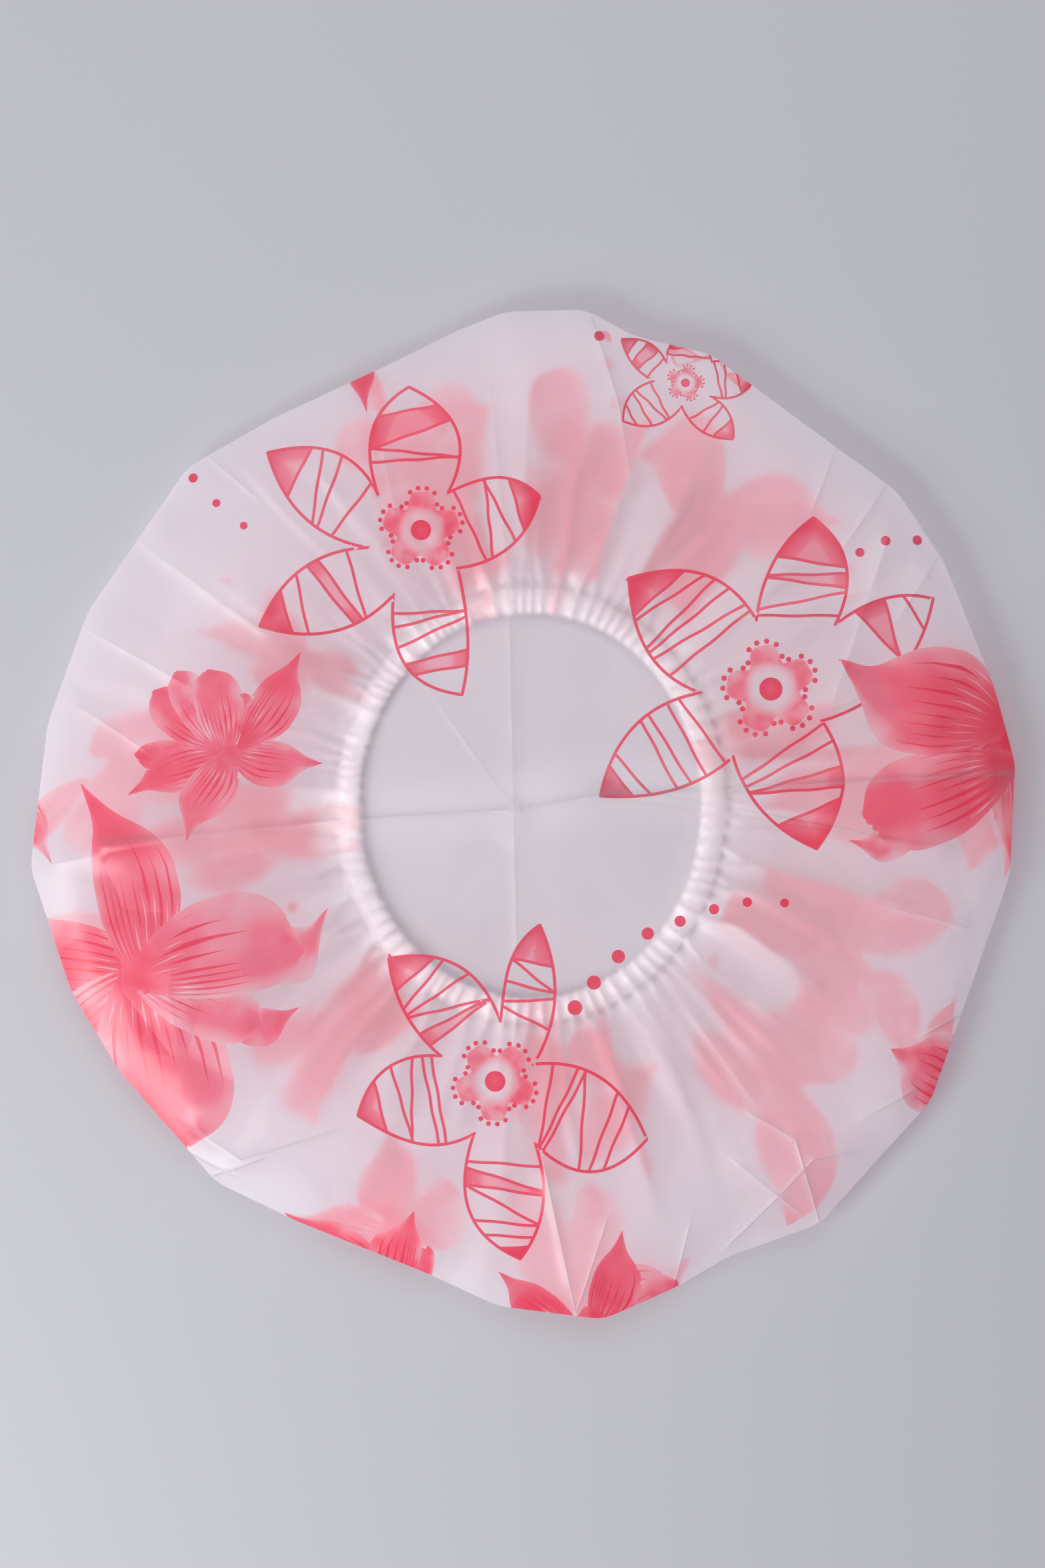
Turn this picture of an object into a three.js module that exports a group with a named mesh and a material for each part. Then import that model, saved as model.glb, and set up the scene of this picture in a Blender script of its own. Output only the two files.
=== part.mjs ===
// A printed plastic-film shower cap lying flat, crown up, on its gathered elastic opening.
// Millimetres, +Z up. The cap rests on the flat underside of its hem at z = 0.
import * as THREE from "three";

// Film and what is sewn to it
const filmThickness = 0.12;
const elasticWidth = 5;
const elasticThickness = 0.8;
const elasticLapLength = 12;
const threadDiameter = 0.4;
const fitGap = 0.3;

// The relaxed elastic ring, measured along the middle of the elastic, and where it lies
const ringHalfWidth = 51.8;
const ringHalfDepth = 58.3;
const ringShiftX = 1.9;
const ringShiftY = 2.9;

// The hem that is turned over the elastic and closed by one seam
const hemSideRoom = 0.5;
const hemLipLength = 1.2;
const hemPuckerRise = 1.3;
const hemPuckerReach = 0.6;
const gatherCount = 32;

// The gathered underside, from the seam out to the rim
const gatherRise = 3.6;
const gatherFloor = 2.4;

// The rim and the crown
const rimReach = 144;
const rimHeight = 8;
const rimSlopeReach = 26;
const crownHeight = 15.5;
const crownSag = 1.8;
const creaseRise = 1.4;

// Steps around the cap
const stepsPerGather = 4;
const stepsPerPucker = 2;
const crownSteps = 72;
const threadSides = 6;

const filmMaterial = () =>
  new THREE.MeshStandardMaterial({
    name: "printed_film",
    color: new THREE.Color(0.86, 0.62, 0.68),
    roughness: 0.35,
    metalness: 0,
    transparent: true,
    opacity: 0.6,
    side: THREE.DoubleSide,
  });
const elasticMaterial = () =>
  new THREE.MeshStandardMaterial({
    name: "white_elastic",
    color: new THREE.Color(0.93, 0.91, 0.92),
    roughness: 0.85,
    metalness: 0,
  });
const threadMaterial = () =>
  new THREE.MeshStandardMaterial({
    name: "white_thread",
    color: new THREE.Color(0.95, 0.94, 0.94),
    roughness: 0.6,
    metalness: 0,
  });

const turn = 2 * Math.PI;
const radians = THREE.MathUtils.degToRad;
const anglesAround = (count) => Array.from({ length: count }, (_, i) => (turn * i) / count);

// The rim seen from above is a loose polygon: each corner is an angle in degrees and its share of rimReach.
const rimCornerShares = [
  [6, 0.979], [15, 0.967], [31, 0.973], [41, 0.98], [53, 0.955], [68, 0.986], [77, 0.975],
  [83, 1.01], [92, 0.999], [98, 0.969], [106, 0.934], [122, 0.93], [134, 0.958], [155, 0.953],
  [169, 0.96], [186, 0.981], [201, 0.96], [212, 0.946], [230, 0.946], [241, 0.918], [258, 0.924],
  [267, 0.971], [279, 1.008], [288, 0.98], [295, 0.962], [306, 0.997], [325, 0.984], [353, 0.97],
];

// Distance from the middle to the rim: a straight edge runs from corner to corner.
function rimRadius(angle) {
  const degrees = THREE.MathUtils.radToDeg(angle) % 360;
  const count = rimCornerShares.length;
  const found = rimCornerShares.findIndex(([corner]) => corner > degrees);
  const after = found < 0 ? 0 : found;
  const before = (after + count - 1) % count;
  const [fromAngle, fromShare] = rimCornerShares[before];
  const [toAngle, toShare] = rimCornerShares[after];
  const span = radians((toAngle - fromAngle + 360) % 360);
  const part = radians((degrees - fromAngle + 360) % 360);
  const edge = fromShare * Math.sin(part) + toShare * Math.sin(span - part);
  return (rimReach * fromShare * toShare * Math.sin(span)) / edge;
}

const rimPoint = (angle) =>
  new THREE.Vector2(Math.cos(angle), Math.sin(angle)).multiplyScalar(rimRadius(angle));

// A point beside the middle line of the elastic: across is measured outwards, square to that line.
function ringPoint(angle, across, height) {
  const x = ringHalfWidth * Math.cos(angle);
  const y = ringHalfDepth * Math.sin(angle);
  const outward = new THREE.Vector2(ringHalfDepth * Math.cos(angle), ringHalfWidth * Math.sin(angle));
  outward.setLength(across);
  return new THREE.Vector3(ringShiftX + x + outward.x, ringShiftY + y + outward.y, height);
}

// 1 on the crest of a gather and 0 in the valley beside it
const gatherAt = (angle) => (1 + Math.cos(gatherCount * angle)) / 2;

// Meshes from rows of points: each row is one closed loop, and neighbouring rows are joined.
function closedMesh(name, points, triangles, material) {
  const geometry = new THREE.BufferGeometry().setFromPoints(points);
  const volume = triangles.reduce((sum, [a, b, c]) => {
    const cross = new THREE.Vector3().crossVectors(points[b], points[c]);
    return sum + points[a].dot(cross);
  }, 0);
  const outward = volume > 0 ? triangles : triangles.map(([a, b, c]) => [a, c, b]);
  geometry.setIndex(outward.flat());
  geometry.computeVertexNormals();
  const mesh = new THREE.Mesh(geometry, material);
  mesh.name = name;
  return mesh;
}

// Two rows joined by a band of squares, each cut into two triangles. The squares from the index otherWay on
// are cut along their other diagonal, so that the two faces of a film fold along the same lines.
function joinRows(first, second, count, otherWay) {
  const triangles = [];
  for (let i = 0; i < count; i += 1) {
    const next = (i + 1) % count;
    if (i < otherWay) {
      triangles.push([first + i, first + next, second + next]);
      triangles.push([first + i, second + next, second + i]);
    } else {
      triangles.push([first + i, first + next, second + i]);
      triangles.push([first + next, second + next, second + i]);
    }
  }
  return triangles;
}

function capRow(start, middle, count) {
  return Array.from({ length: count }, (_, i) => [start + i, middle, start + ((i + 1) % count)]);
}

// Cross-sections joined all the way round, as in a ring
function ringOfSections(name, sections, material) {
  const count = sections[0].length;
  const triangles = sections.flatMap((_, i) =>
    joinRows(i * count, ((i + 1) % sections.length) * count, count, count / 2),
  );
  return closedMesh(name, sections.flat(), triangles, material);
}

// Rows stacked from one closing point to the other, as in a bar, or in a dome and its lining
function stackOfRows(name, firstPoint, rows, lastPoint, material) {
  const count = rows[0].length;
  const points = [...rows.flat(), firstPoint, lastPoint];
  const triangles = rows.slice(1).flatMap((_, i) =>
    joinRows(i * count, (i + 1) * count, count, i < rows.length / 2 ? count : 0),
  );
  const lastStart = (rows.length - 1) * count;
  triangles.push(...capRow(0, points.length - 2, count));
  triangles.push(...capRow(lastStart, points.length - 1, count).map(([a, b, c]) => [a, c, b]));
  return closedMesh(name, points, triangles, material);
}

// A path of film drawn as a thin closed outline, half the thickness to each side of it
function filmOutline(path) {
  const sides = [1, -1].map((side) =>
    path.map((point, i) => {
      const before = path[Math.max(i - 1, 0)];
      const after = path[Math.min(i + 1, path.length - 1)];
      const arriving = (i > 0 ? point.clone().sub(before) : after.clone().sub(point)).normalize();
      const leaving = (i < path.length - 1 ? after.clone().sub(point) : arriving.clone()).normalize();
      const along = arriving.clone().add(leaving).normalize();
      const reach = (side * filmThickness) / 2 / along.dot(arriving);
      return new THREE.Vector2(point.x - along.y * reach, point.y + along.x * reach);
    }),
  );
  return [...sides[0], ...sides[1].reverse()];
}

// Heights in the hem, stacked up from the table
const elasticBottom = filmThickness + fitGap;
const elasticTop = elasticBottom + elasticThickness;
const lapBottom = elasticTop + fitGap;
const lapTop = lapBottom + elasticThickness;
const lapStitchMiddle = lapTop + fitGap + threadDiameter / 2;
const hemValleyHeight = lapStitchMiddle + threadDiameter / 2 + fitGap + filmThickness / 2;
const lipSpacing = fitGap + filmThickness;
const seamHeight = (elasticTop + hemValleyHeight) / 2 - lipSpacing;
const lowerLipHeight = seamHeight - lipSpacing / 2;
const upperLipHeight = seamHeight + lipSpacing / 2;

// Places across the hem, measured outwards from the middle of the elastic
const elasticEdge = elasticWidth / 2;
const hemFootShare = 0.6;
const hemFoot = elasticEdge + hemSideRoom * hemFootShare;
const hemSide = elasticEdge + hemSideRoom;
const hemLipEnd = hemSide + hemLipLength;
const hemTopShares = [-0.6, 0.45];
const hemShoulderShare = 0.8;

// The hem: film turned under and over the elastic, with its two lips one above the other at the seam.
// It stays open between the lips, and its underside lies flat.
function hemCasing() {
  const sections = anglesAround(gatherCount * stepsPerPucker).map((angle) => {
    const pucker = gatherAt(angle);
    const top = hemValleyHeight + hemPuckerRise * pucker;
    const path = [
      [hemLipEnd, lowerLipHeight],
      [hemSide, lowerLipHeight],
      [hemFoot, filmThickness / 2],
      [-hemFoot, filmThickness / 2],
      [-hemSide, elasticTop],
      [-hemSide - hemPuckerReach * pucker, hemValleyHeight * hemShoulderShare],
      [elasticEdge * hemTopShares[0], top],
      [elasticEdge * hemTopShares[1], top],
      [hemSide, upperLipHeight],
      [hemLipEnd, upperLipHeight],
    ].map(([across, height]) => new THREE.Vector2(across, height));
    return filmOutline(path).map((point) => ringPoint(angle, point.x, point.y));
  });
  return ringOfSections("hem_casing", sections, filmMaterial());
}

// The elastic: one flat strip bent into a ring, its second end climbing onto the first.
const ringMeanRadius = Math.sqrt((ringHalfWidth ** 2 + ringHalfDepth ** 2) / 2);
const lapAngle = elasticLapLength / ringMeanRadius;
const lapMiddleAngle = radians(200);
const elasticSteps = 72;
const climbLengthShare = 0.5;

function elasticBand() {
  const start = lapMiddleAngle - lapAngle / 2;
  const sweep = turn + lapAngle;
  const climbEnd = turn - lapAngle * climbLengthShare;
  const climbStart = climbEnd - lapAngle;
  const rows = Array.from({ length: elasticSteps + 1 }, (_, i) => {
    const travelled = (sweep * i) / elasticSteps;
    const climbed = THREE.MathUtils.smoothstep(travelled, climbStart, climbEnd);
    const low = elasticBottom + (lapBottom - elasticBottom) * climbed;
    const high = low + elasticThickness;
    const angle = start + travelled;
    return [
      ringPoint(angle, -elasticEdge, low),
      ringPoint(angle, elasticEdge, low),
      ringPoint(angle, elasticEdge, high),
      ringPoint(angle, -elasticEdge, high),
    ];
  });
  const middleOf = (row) => row[0].clone().add(row[2]).divideScalar(2);
  const lastRow = rows[rows.length - 1];
  return stackOfRows("elastic_band", middleOf(rows[0]), rows, middleOf(lastRow), elasticMaterial());
}

// The bar tack that sews the two ends of the elastic together, drawn as the zigzag on its upper side
const tackLengthShare = 0.55;
const tackWidthShare = 0.3;
const tackPasses = 8;

function elasticJoinStitch() {
  const points = Array.from({ length: tackPasses + 1 }, (_, i) => {
    const fromMiddle = (2 * i - tackPasses) / (2 * tackPasses);
    const across = elasticWidth * tackWidthShare * (i % 2 ? 1 : -1);
    const angle = lapMiddleAngle + lapAngle * tackLengthShare * fromMiddle;
    return ringPoint(angle, across, lapStitchMiddle);
  });
  const path = new THREE.CatmullRomCurve3(points);
  const section = new THREE.Shape(
    anglesAround(threadSides).map(
      (angle) => new THREE.Vector2(Math.cos(angle), Math.sin(angle)).multiplyScalar(threadDiameter / 2),
    ),
  );
  const geometry = new THREE.ExtrudeGeometry(section, {
    steps: tackPasses * threadSides,
    extrudePath: path,
  });
  const mesh = new THREE.Mesh(geometry, threadMaterial());
  mesh.name = "elastic_join_stitch";
  return mesh;
}

// One thread of the seam, lying along the lips of the hem at the given height
function seamThread(name, height) {
  const middle = (hemSide + hemLipEnd) / 2;
  const sections = anglesAround(gatherCount * stepsPerPucker).map((angle) =>
    anglesAround(threadSides).map((side) => {
      const across = middle + (threadDiameter / 2) * Math.cos(side);
      return ringPoint(angle, across, height + (threadDiameter / 2) * Math.sin(side));
    }),
  );
  return ringOfSections(name, sections, threadMaterial());
}

const threadSeat = filmThickness / 2 + fitGap + threadDiameter / 2;
const needleThread = () => seamThread("seam_needle_thread", upperLipHeight + threadSeat);
const bobbinThread = () => seamThread("seam_bobbin_thread", lowerLipHeight - threadSeat);

// The underside: film gathered at the seam and smooth at the rim.
// Each row is a share of the way out, a share of the climb to the rim and a share of the gathers' rise.
const skirtRowShares = [
  [0, 0, 0],
  [0.1, 0.02, 1],
  [0.45, 0.3, 0.65],
  [0.8, 0.7, 0.12],
  [1, 1, 0],
];

function skirtFilm() {
  const sections = anglesAround(gatherCount * stepsPerGather).map((angle) => {
    const inner = ringPoint(angle, hemLipEnd + fitGap, upperLipHeight);
    const outer = rimPoint(angle);
    const reach = outer.distanceTo(new THREE.Vector2(inner.x, inner.y));
    const path = skirtRowShares.map(([out, climb, rise]) => {
      const floor = out > 0 ? gatherFloor + (rimHeight - gatherFloor) * climb : inner.z;
      return new THREE.Vector2(reach * out, floor + gatherRise * rise * gatherAt(angle));
    });
    return filmOutline(path).map((point) => {
      const share = point.x / reach;
      return new THREE.Vector3(
        inner.x + (outer.x - inner.x) * share,
        inner.y + (outer.y - inner.y) * share,
        point.y,
      );
    });
  });
  return ringOfSections("skirt_film", sections, filmMaterial());
}

// The crown: film from the sharp fold of the rim up a rounded slope to the middle, which sags a little.
// Packing has left a raised crease along each of these rays: an angle in degrees and a share of creaseRise.
const creaseShares = [
  [5, 1],
  [95, 0.7],
  [185, 1],
  [270, 0.4],
];
const slopeShares = [
  [0, 0],
  [0.12, 0.22],
  [0.45, 0.56],
  [1, 0.84],
];
const plateauShares = [
  [0.62, 1, 0.8],
  [0.31, 0.6, 1],
];

function creaseAt(angle) {
  const step = turn / crownSteps;
  return creaseShares.reduce((sum, [degrees, share]) => {
    const away = Math.abs(Math.atan2(Math.sin(angle - radians(degrees)), Math.cos(angle - radians(degrees))));
    return sum + share * Math.max(0, 1 - away / step);
  }, 0);
}

function crownRow(angle) {
  const reach = rimRadius(angle);
  const edge = rimHeight + filmThickness + fitGap;
  const slope = slopeShares.map(([inward, climb]) => [
    reach - rimSlopeReach * inward,
    edge + (crownHeight - edge) * climb,
  ]);
  const plateau = plateauShares.map(([out, climb, crease]) => [
    reach * out,
    crownHeight - crownSag * (1 - climb) + creaseRise * crease * creaseAt(angle),
  ]);
  return [...slope, ...plateau];
}

function crownFilm() {
  const angles = anglesAround(crownSteps);
  const outlines = angles.map((angle) =>
    filmOutline(crownRow(angle).map(([out, height]) => new THREE.Vector2(out, height))),
  );
  const pathLength = outlines[0].length / 2;
  const rowAt = (k) =>
    outlines.map((outline, i) => {
      const { x, y } = outline[k];
      return new THREE.Vector3(x * Math.cos(angles[i]), x * Math.sin(angles[i]), y);
    });
  const innerSide = Array.from({ length: pathLength }, (_, k) => rowAt(k)).reverse();
  const outerSide = Array.from({ length: pathLength }, (_, k) => rowAt(pathLength * 2 - 1 - k));
  const middle = crownHeight - crownSag;
  const underPoint = new THREE.Vector3(0, 0, middle - filmThickness / 2);
  const upperPoint = new THREE.Vector3(0, 0, middle + filmThickness / 2);
  const rows = [...innerSide, ...outerSide];
  return stackOfRows("crown_film", underPoint, rows, upperPoint, filmMaterial());
}

const cap = new THREE.Group();
cap.name = "shower_cap";
cap.add(
  hemCasing(),
  elasticBand(),
  elasticJoinStitch(),
  needleThread(),
  bobbinThread(),
  skirtFilm(),
  crownFilm(),
);

// The origin is the middle of the cap's outer size, on the table.
const extent = new THREE.Box3().setFromObject(cap);
const centre = extent.getCenter(new THREE.Vector3());
cap.position.set(-centre.x, -centre.y, -extent.min.z);

export default cap;
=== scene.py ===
import math

import bpy
import numpy as np
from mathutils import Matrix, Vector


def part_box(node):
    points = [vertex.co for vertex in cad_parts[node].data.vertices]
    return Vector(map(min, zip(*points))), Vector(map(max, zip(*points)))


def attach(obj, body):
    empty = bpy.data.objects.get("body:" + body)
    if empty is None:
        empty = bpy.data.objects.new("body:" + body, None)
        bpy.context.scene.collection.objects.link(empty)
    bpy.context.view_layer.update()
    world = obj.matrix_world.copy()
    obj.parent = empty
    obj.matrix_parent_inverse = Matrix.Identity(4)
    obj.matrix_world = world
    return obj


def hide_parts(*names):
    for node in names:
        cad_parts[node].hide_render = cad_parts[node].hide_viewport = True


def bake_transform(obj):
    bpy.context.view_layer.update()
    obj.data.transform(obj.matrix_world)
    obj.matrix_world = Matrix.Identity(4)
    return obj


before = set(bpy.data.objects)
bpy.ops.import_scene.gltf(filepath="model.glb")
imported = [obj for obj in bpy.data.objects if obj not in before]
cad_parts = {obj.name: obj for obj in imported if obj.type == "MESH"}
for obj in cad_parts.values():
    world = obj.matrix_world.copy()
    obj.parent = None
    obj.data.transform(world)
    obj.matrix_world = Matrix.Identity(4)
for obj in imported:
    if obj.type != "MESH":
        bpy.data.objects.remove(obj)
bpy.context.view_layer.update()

# The film's cut and folds. The cap is one disc of soft plastic film, printed while it is flat, that
# turns over at the rim and runs back under the crown to the elastic. Here the disc is a strip of rows
# from its middle to its cut edge, each point of which is moved to where the folded film has it.
MM = 0.001
TURN = 2 * math.pi

film_columns = 768
crown_rows = 70
skirt_rows = 40
hem_rows = 18
film_rows = crown_rows + skirt_rows + hem_rows
cut_radius = 235 * MM
seam_radius = 217 * MM

# Corners of the rim seen from above: an angle in degrees and the distance from the middle in millimetres
rim_corners = [
    (6, 141), (15, 139.2), (31, 140.1), (41, 141.1), (53, 137.5), (68, 142), (77, 140.4), (83, 145.4),
    (92, 143.9), (98, 139.5), (106, 134.5), (122, 133.9), (134, 138), (155, 137.2), (169, 138.2),
    (186, 141.3), (201, 138.2), (212, 136.2), (230, 136.2), (241, 132.2), (258, 133.1), (267, 139.8),
    (279, 145.2), (288, 141.1), (295, 138.5), (306, 143.6), (325, 141.7), (353, 139.7),
]
corner_softening = np.radians(np.linspace(-1.2, 1.2, 7))


def rim_radius(angle):
    """Distance from the middle to the rim, straight from corner to corner and softened at each corner."""
    corners = np.radians([corner for corner, _ in rim_corners])
    reach = np.array([distance for _, distance in rim_corners]) * MM
    softened = np.zeros_like(angle)
    for shift in corner_softening:
        turned = (angle + shift) % TURN
        after = np.searchsorted(corners, turned, side="right") % len(corners)
        before = after - 1
        span = (corners[after] - corners[before]) % TURN
        part = (turned - corners[before]) % TURN
        edge = reach[before] * np.sin(part) + reach[after] * np.sin(span - part)
        softened += reach[before] * reach[after] * np.sin(span) / edge
    return softened / len(corner_softening)


def wander(angle, slowest, fastest, seed):
    """An uneven wave round the cap that meets itself, from about -1 to 1."""
    draw = np.random.default_rng(seed)
    wave = np.zeros_like(angle)
    for times in range(slowest, fastest + 1):
        wave += draw.normal() * np.sin(times * angle + draw.uniform(0, TURN))
    return wave / math.sqrt((fastest - slowest + 1) / 2 + 1)


def rolling(x, y, shortest, longest, waves, seed):
    """Uneven swells over the crown, from about -1 to 1, with wavelengths from shortest to longest."""
    draw = np.random.default_rng(seed)
    height = np.zeros_like(x)
    for _ in range(waves):
        heading = draw.uniform(0, TURN)
        length = draw.uniform(shortest, longest)
        along = x * math.cos(heading) + y * math.sin(heading)
        height += np.sin(TURN * along / length + draw.uniform(0, TURN))
    return height / math.sqrt(waves)


def smooth(value, low, high):
    """0 below low, 1 above high and an even curve between them."""
    part = np.clip((value - low) / (high - low), 0, 1)
    return part * part * (3 - 2 * part)


# Creases left by packing, in millimetres: from x, y, to x, y, height of the ridge, its half width, how
# much whiter the film is along it, partly its own stress-whitening and partly a painted highlight, and the
# half width of that pale line
crease_lines = [
    (-118, -9, -53, -2, 2.5, 5, 0.08, 0.7),
    (-53, -2, -3, 1, 3, 5, 0.1, 0.6),
    (-3, 1, 21, 5, 3, 5, 0.15, 0.6),
    (21, 5, 139, 11, 3, 5, 0.15, 0.6),
    (21, 5, 119, -9, 1.1, 5, 0.3, 0.5),
    (-11, 140, -4, 62, 0.9, 5, 0.15, 0.8),
    (-4, 62, -2, -36, 0.7, 4, 0.2, 0.8),
    (58, 18, 93, 32, 0.8, 4, 0.3, 0.5),
    (36, 6, 95, -5, 0.5, 4, 0.3, 0.4),
    (87, 30, 103, 77, 1, 5, 0.3, 1.6),
    (53, 53, 115, 67, 0.9, 5, 0.25, 0.8),
    (19, 143, 27, 116, 1, 3, 0.4, 0.5),
    (27, 116, 30, 98, 0.6, 3, 0.25, 0.5),
    (103, 93, 91, 76, 0.8, 3, 0.3, 0.6),
    (92, 111, 83, 89, 0.7, 3, 0.3, 0.6),
    (120, 76, 108, 58, 0.7, 3, 0.35, 0.6),
    (-109, 77, -73, 51, 1.1, 5, 0.35, 2.2),
    (-91, 103, -75, 89, 0.7, 3, 0.3, 0.8),
    (-44, 125, -37, 89, 0.6, 3, 0.2, 0.8),
    (-125, 53, -98, 38, 0.7, 3, 0.25, 0.8),
    (-127, 31, -107, 18, 0.6, 3, 0.25, 0.8),
    (-132, -14, -101, -8, 0.6, 3, 0.2, 0.6),
    (-24, 31, -6, 6, 0.5, 4, 0.15, 0.6),
    (-93, -90, -80, -98, 0.9, 2, 0.6, 0.6),
    (-80, -98, -55, -90, 0.9, 2, 0.55, 0.6),
    (-88, -103, -75, -98, 0.7, 2, 0.5, 0.5),
    (-96, -96, -82, -103, 0.7, 2, 0.5, 0.5),
    (15, -142, 6, -100, 1.1, 3, 0.35, 0.6),
    (15, -142, 23, -117, 0.8, 3, 0.3, 0.5),
    (43, -134, 47, -117, 0.7, 3, 0.3, 0.5),
    (59, -122, 82, -98, 0.9, 3, 0.4, 0.6),
    (82, -98, 92, -96, 0.7, 2, 0.4, 0.5),
    (97, -86, 110, -79, 0.7, 3, 0.3, 0.5),
    (84, -115, 77, -92, 0.8, 3, 0.4, 0.5),
    (77, -92, 65, -85, 0.7, 3, 0.35, 0.5),
    (77, -112, 61, -99, 0.7, 3, 0.35, 0.5),
    (47, -56, 65, -81, 0.8, 4, 0.2, 1.2),
    (131, -54, 115, -62, 0.7, 2, 0.5, 0.5),
    (125, -32, 106, -27, 0.6, 3, 0.3, 0.6),
]
ridge_gain = 1.3


def beside_line(x, y, line):
    """Distances along and to the left of a line, both times its length, and that length."""
    x1, y1, x2, y2 = line
    run_x, run_y = x2 - x1, y2 - y1
    along = (x - x1) * run_x + (y - y1) * run_y
    across = (y - y1) * run_x - (x - x1) * run_y
    return along, across, math.hypot(run_x, run_y)


def beside_crease(x, y, crease):
    """Distance across a crease's line, and how far past its nearer end, both in metres."""
    along, across, length = beside_line(x, y, np.array(crease[:4]) * MM)
    return across / length, np.maximum(-along / length, along / length - length).clip(0)


def creased(x, y):
    """Height of the packing creases above the smooth crown, ridge_gain times what is listed."""
    height = np.zeros_like(x)
    for crease in crease_lines:
        rise, width = crease[4:6]
        away = np.hypot(*beside_crease(x, y, crease))
        height += ridge_gain * rise * MM * np.exp(-away / (width * MM))
    return height


def places_of(mesh):
    """Where each vertex of a mesh is."""
    places = np.empty(len(mesh.vertices) * 3, dtype=np.float32)
    mesh.vertices.foreach_get("co", places)
    return places.reshape(-1, 3).astype(float)


def corner_vertices(mesh):
    """The number of the vertex at each corner of a mesh's faces."""
    numbers = np.empty(len(mesh.loops), dtype=np.int32)
    mesh.loops.foreach_get("vertex_index", numbers)
    return numbers


bpy.ops.object.select_all(action="DESELECT")
bpy.ops.mesh.primitive_grid_add(x_subdivisions=film_columns, y_subdivisions=film_rows, size=1)
film = bpy.context.object
film.name = film.data.name = "printed_film"
strip = places_of(film.data)
angle = (strip[:, 0] + 0.5) * TURN
row = np.rint((strip[:, 1] + 0.5) * film_rows)

# The ring of the hem and the middle of the rim, from the frame
hem_low, hem_high = np.array(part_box("hem_casing"))
skirt_low, skirt_high = np.array(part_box("skirt_film"))
ring_middle = (hem_low + hem_high)[:2] / 2
elastic_edge = 2.5 * MM
hem_lip_end = 4.2 * MM
ring_half = (hem_high - hem_low)[:2] / 2 - hem_lip_end
rim = rim_radius(angle)
rim_x = rim * np.cos(angle)
rim_y = rim * np.sin(angle)
rim_middle_x = (skirt_low[0] + skirt_high[0]) / 2 - (rim_x.min() + rim_x.max()) / 2
rim_middle_y = (skirt_low[1] + skirt_high[1]) / 2 - (rim_y.min() + rim_y.max()) / 2


def beside_ring(angle, across):
    """A point in plan beside the middle of the elastic, across being measured outwards."""
    x = ring_half[0] * np.cos(angle)
    y = ring_half[1] * np.sin(angle)
    outward = np.stack([ring_half[1] * np.cos(angle), ring_half[0] * np.sin(angle)])
    outward = outward / np.hypot(*outward) * across
    return ring_middle[0] + x + outward[0], ring_middle[1] + y + outward[1]


# The crown: it rises from the rim, sags a little in the middle and is swollen, crumpled and creased. Its
# rows lie closer together towards the rim.
rim_height = 8 * MM
plateau_height = 15.5 * MM
middle_sag = 1.8 * MM
sag_reach = 0.62
rim_slope = 13 * MM
even_rows, closer_rows = 0.55, 0.45
relief_starts, relief_full, crease_full = 2 * MM, 24 * MM, 8 * MM
swell_height, swell_shortest, swell_longest = 0.7 * MM, 45 * MM, 110 * MM
crumple_height, crumple_shortest, crumple_longest = 0.10 * MM, 9 * MM, 24 * MM
crown_part = np.clip(row / crown_rows, 0, 1)
crown_share = even_rows * crown_part + closer_rows * np.sin(crown_part * math.pi / 2)
crown_x = rim_middle_x + rim_x * crown_share
crown_y = rim_middle_y + rim_y * crown_share
inward = rim * (1 - crown_share)
climb = 1 - np.exp(-inward / rim_slope)
sag = middle_sag * (1 - np.clip(crown_share / sag_reach, 0, 1) ** 2)
swell = swell_height * rolling(crown_x, crown_y, swell_shortest, swell_longest, 12, 3)
crumple = crumple_height * rolling(crown_x, crown_y, crumple_shortest, crumple_longest, 16, 5)
relief = (swell + crumple) * smooth(inward, relief_starts, relief_full)
relief += creased(crown_x, crown_y) * smooth(inward, 0, crease_full)
crown_z = rim_height + (plateau_height - rim_height) * climb - sag + relief

# The gathered underside: out is 1 at the rim and 0 at the seam. Uneven main folds, which lean and end at
# different lengths, carry finer ones near the seam.
skirt_part = np.clip((row - crown_rows) / skirt_rows, 0, 1)
out = 1 - skirt_part
lip_height = 1.97 * MM
valley_height = 2.4 * MM
main_folds = 31
main_fold_height = 3.6 * MM
main_fold_swing = 2.2 * MM
main_fold_lean = 2.0 * MM
fine_folds = 88
fine_fold_height = 1.35 * MM
fine_fold_swing = 0.5 * MM
lean = wander(angle, 1, 7, 21)
main_phase = main_folds * angle + 1.9 * wander(angle, 2, 9, 11) + 0.9 * out * wander(angle, 3, 14, 12)
fine_phase = fine_folds * angle + 2.2 * wander(angle, 3, 16, 13)
main_crest = ((1 + np.cos(main_phase)) / 2) ** 0.9
fine_wave = np.cos(fine_phase)
fold_length = np.clip(0.72 + 0.26 * wander(angle, 4, 24, 14), 0.35, 1.05)
fold_fade = smooth(fold_length - out, 0, 0.55)
main_rise = main_fold_height * np.clip(0.95 + 0.3 * wander(angle, 3, 20, 15), 0.4, 1.3)
main_rise = main_rise * smooth(out, 0, 0.13) * fold_fade
fine_rise = fine_fold_height * (1 - smooth(out, 0.05, 0.62))
floor_height = lip_height + (valley_height - lip_height) * smooth(out, 0, 0.1)
floor_height += (rim_height - valley_height) * out**1.5
skirt_z = floor_height + main_rise * main_crest + fine_rise * fine_wave
lip_x, lip_y = beside_ring(angle, hem_lip_end)
skirt_x = lip_x + (rim_middle_x + rim_x - lip_x) * out
skirt_y = lip_y + (rim_middle_y + rim_y - lip_y) * out
main_slide = main_fold_swing * -np.sin(main_phase) + main_fold_lean * lean * np.cos(main_phase)
fine_slide = fine_rise / fine_fold_height * fine_fold_swing * -np.sin(fine_phase)
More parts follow.
